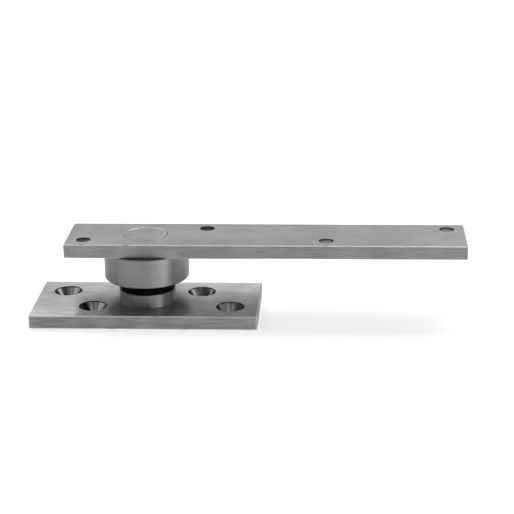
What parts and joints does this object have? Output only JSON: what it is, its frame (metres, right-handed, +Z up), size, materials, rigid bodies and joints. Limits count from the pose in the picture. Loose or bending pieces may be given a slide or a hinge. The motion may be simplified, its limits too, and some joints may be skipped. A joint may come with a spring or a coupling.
{
  "type": "center hung pivot hinge",
  "caption": "Satin steel bottom pivot for a center hung door: a floor plate with a fixed spindle carries a long door arm that turns on a round, sealed bearing housing.",
  "frame": {"origin": "on the pivot axis, at the underside of the floor plate", "axes": "+Z up along the pivot axis, +X along the long end of the door arm at rest"},
  "size_m": [0.1937, 0.046, 0.0372],
  "materials": {
    "satin_bar": "satin stainless flat bar, long grain along the bar",
    "turned_steel": "turned stainless, fine lathe rings",
    "black_rubber": "matte black rubber",
    "bearing_steel": "ground and hardened bearing steel",
    "cage_brass": "machined brass",
    "bush_bronze": "plain sintered bronze"
  },
  "bodies": {
    "floor_base": {"floor_plate": "satin_bar", "pivot_spindle": "turned_steel", "dust_seal": "black_rubber", "lower_race": "bearing_steel"},
    "swing_arm": {"door_arm": "satin_bar", "bearing_housing": "turned_steel", "upper_race": "bearing_steel", "pivot_bush": "bush_bronze"},
    "roller_set": {"roller_cage": "cage_brass", "roller_01": "bearing_steel", "roller_02": "bearing_steel", "roller_03": "bearing_steel", "roller_04": "bearing_steel", "roller_05": "bearing_steel", "roller_06": "bearing_steel", "roller_07": "bearing_steel", "roller_08": "bearing_steel", "roller_09": "bearing_steel", "roller_10": "bearing_steel", "roller_11": "bearing_steel"}
  },
  "joints": [
    {"name": "arm_swing", "type": "hinge", "parent": "floor_base", "child": "swing_arm", "pos_m": [0, 0, 0.03085], "axis": [0, 0, 1], "continuous": true},
    {"name": "roller_orbit", "type": "hinge", "parent": "floor_base", "child": "roller_set", "pos_m": [0, 0, 0.01599], "axis": [0, 0, 1], "continuous": true}
  ],
  "couplings": [
    {"joint": "roller_orbit", "follows": "arm_swing", "ratio": 0.5}
  ]
}
